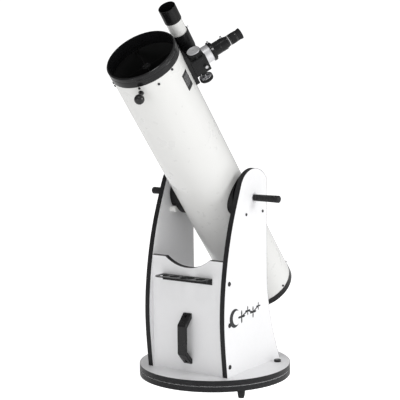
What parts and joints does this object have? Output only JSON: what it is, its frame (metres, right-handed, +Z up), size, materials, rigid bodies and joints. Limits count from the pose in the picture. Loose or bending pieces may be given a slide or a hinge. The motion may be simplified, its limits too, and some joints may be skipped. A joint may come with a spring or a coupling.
{
  "type": "dobsonian telescope",
  "caption": "White Newtonian telescope on a floor-standing rocker-box mount, with focuser, eyepiece, finder scope, eyepiece rack and pull handle.",
  "frame": {"origin": "on the floor, on the upright azimuth axis", "axes": "+Z up, -Y towards the front board and the tube mouth, +X towards the focuser side; the altitude axis is along X"},
  "size_m": [0.53, 0.8959, 1.3143],
  "materials": {
    "tube_paint": "gloss white enamel",
    "board_laminate": "satin white melamine",
    "edge_band": "satin black",
    "black_plastic": "moulded black",
    "gloss_black": "polished black",
    "black_paint": "satin black",
    "rubber": "matte",
    "grip_rubber": "ribbed matte",
    "white_polymer": "waxy",
    "screw_steel": "bright",
    "dark_steel": "blackened",
    "bare_aluminium": "turned satin",
    "chrome": "polished",
    "mirror": "aluminised glass",
    "label": "printed black"
  },
  "bodies": {
    "ground": {"ground_board": "board_laminate", "ground_edging": "edge_band", "base_feet": "rubber", "azimuth_pads": "white_polymer", "azimuth_bolt": "screw_steel"},
    "rocker": {"rocker_board": "board_laminate", "rocker_edging": "edge_band", "left_panel": "board_laminate", "right_panel": "board_laminate", "front_board": "board_laminate", "panel_bolts": "dark_steel", "wood_screws": "dark_steel", "bearing_posts": "white_polymer", "eyepiece_rack": "black_paint", "pull_handle": "black_plastic", "board_plug": "black_plastic"},
    "tube": {"tube": "tube_paint", "front_ring": "black_plastic", "rear_frame": "black_paint", "tube_screws": "screw_steel", "mirror_carrier": "black_paint", "primary_mirror": "mirror", "mirror_clips": "black_plastic", "collimation_springs": "screw_steel", "collimation_screws": "dark_steel", "spider": "black_paint", "secondary_holder": "black_paint", "secondary_mirror": "mirror", "left_hub": "black_plastic", "right_hub": "black_plastic", "tension_washers": "bare_aluminium", "ball_knob": "gloss_black", "label_plate": "label", "focuser_base": "black_paint", "focuser_body": "black_paint", "focuser_rollers": "bare_aluminium", "finder_shoe": "black_paint"},
    "left_handle": {"left_tension_handle": "grip_rubber"},
    "right_handle": {"right_tension_handle": "grip_rubber"},
    "knob_a": {"collimation_knob_a": "black_plastic"},
    "knob_b": {"collimation_knob_b": "black_plastic"},
    "knob_c": {"collimation_knob_c": "black_plastic"},
    "focus_drive": {"focus_shaft": "screw_steel", "focus_knob_front": "bare_aluminium", "focus_knob_rear": "bare_aluminium"},
    "focus_tension": {"focus_tension_screw": "screw_steel"},
    "draw": {"drawtube": "bare_aluminium", "drawtube_collar": "black_paint", "collar_screws": "screw_steel"},
    "adapter": {"eyepiece_adapter": "black_paint"},
    "adapter_lock": {"adapter_screw": "screw_steel"},
    "eyepiece": {"eyepiece_barrel": "chrome", "eyepiece_body": "gloss_black", "eyecup": "rubber"},
    "finder": {"finder_bracket": "black_paint", "finder_tube": "tube_paint", "finder_eyepiece": "gloss_black", "finder_adjust_screws": "screw_steel"},
    "shoe_lock": {"shoe_screw": "black_plastic"},
    "dew": {"dew_shield": "black_paint"}
  },
  "joints": [
    {"name": "azimuth", "type": "hinge", "parent": "ground", "child": "rocker", "pos_m": [0, 0, 0.051], "axis": [0, 0, 1], "continuous": true},
    {"name": "altitude", "type": "hinge", "parent": "rocker", "child": "tube", "pos_m": [0, 0.0062, 0.658], "axis": [-1, 0, 0], "range_deg": [-50, 40]},
    {"name": "left_handle_turn", "type": "hinge", "parent": "tube", "child": "left_handle", "pos_m": [-0.1853, 0.0062, 0.658], "axis": [1, 0, 0], "range_deg": [-180, 180]},
    {"name": "right_handle_turn", "type": "hinge", "parent": "tube", "child": "right_handle", "pos_m": [0.1853, 0.0062, 0.658], "axis": [1, 0, 0], "range_deg": [-180, 180]},
    {"name": "collimation_a", "type": "hinge", "parent": "tube", "child": "knob_a", "pos_m": [0.05117, 0.35611, 0.33258], "axis": [0, -0.6428, 0.766], "range_deg": [-180, 180]},
    {"name": "collimation_b", "type": "hinge", "parent": "tube", "child": "knob_b", "pos_m": [-0.07657, 0.32241, 0.30431], "axis": [0, -0.6428, 0.766], "range_deg": [-180, 180]},
    {"name": "collimation_c", "type": "hinge", "parent": "tube", "child": "knob_c", "pos_m": [0.02539, 0.25451, 0.24734], "axis": [0, -0.6428, 0.766], "range_deg": [-180, 180]},
    {"name": "focus_turn", "type": "hinge", "parent": "tube", "child": "focus_drive", "pos_m": [0.11694, -0.24208, 1.11072], "axis": [0, -0.6428, 0.766], "range_deg": [-520, 520]},
    {"name": "focus_travel", "type": "slide", "parent": "tube", "child": "draw", "axis": [0.6046, 0.6102, 0.512], "range_m": [-0.025, 0.012]},
    {"name": "focus_tension_turn", "type": "hinge", "parent": "tube", "child": "focus_tension", "pos_m": [0.1334, -0.23401, 1.10705], "axis": [0.7965, -0.4631, -0.3886], "range_deg": [-180, 180]},
    {"name": "adapter_slide", "type": "slide", "parent": "draw", "child": "adapter", "axis": [0.6046, 0.6102, 0.512], "range_m": [0, 0.03]},
    {"name": "adapter_screw_turn", "type": "hinge", "parent": "adapter", "child": "adapter_lock", "pos_m": [0.15484, -0.17718, 1.1939], "axis": [0, -0.6428, 0.766], "range_deg": [-180, 180]},
    {"name": "eyepiece_slide", "type": "slide", "parent": "adapter", "child": "eyepiece", "axis": [0.6046, 0.6102, 0.512], "range_m": [0, 0.025]},
    {"name": "finder_slide", "type": "slide", "parent": "tube", "child": "finder", "axis": [0, -0.6428, 0.766], "range_m": [0, 0.03]},
    {"name": "shoe_screw_turn", "type": "hinge", "parent": "tube", "child": "shoe_lock", "pos_m": [0.00392, -0.25289, 1.16184], "axis": [-0.9833, 0.1396, 0.1171], "range_deg": [-180, 180]},
    {"name": "finder_focus", "type": "slide", "parent": "finder", "child": "dew", "axis": [0, -0.6428, 0.766], "range_m": [0, 0.004]}
  ],
  "couplings": [
    {"joint": "focus_turn", "follows": "focus_travel", "rad_per_m": 333.33}
  ]
}
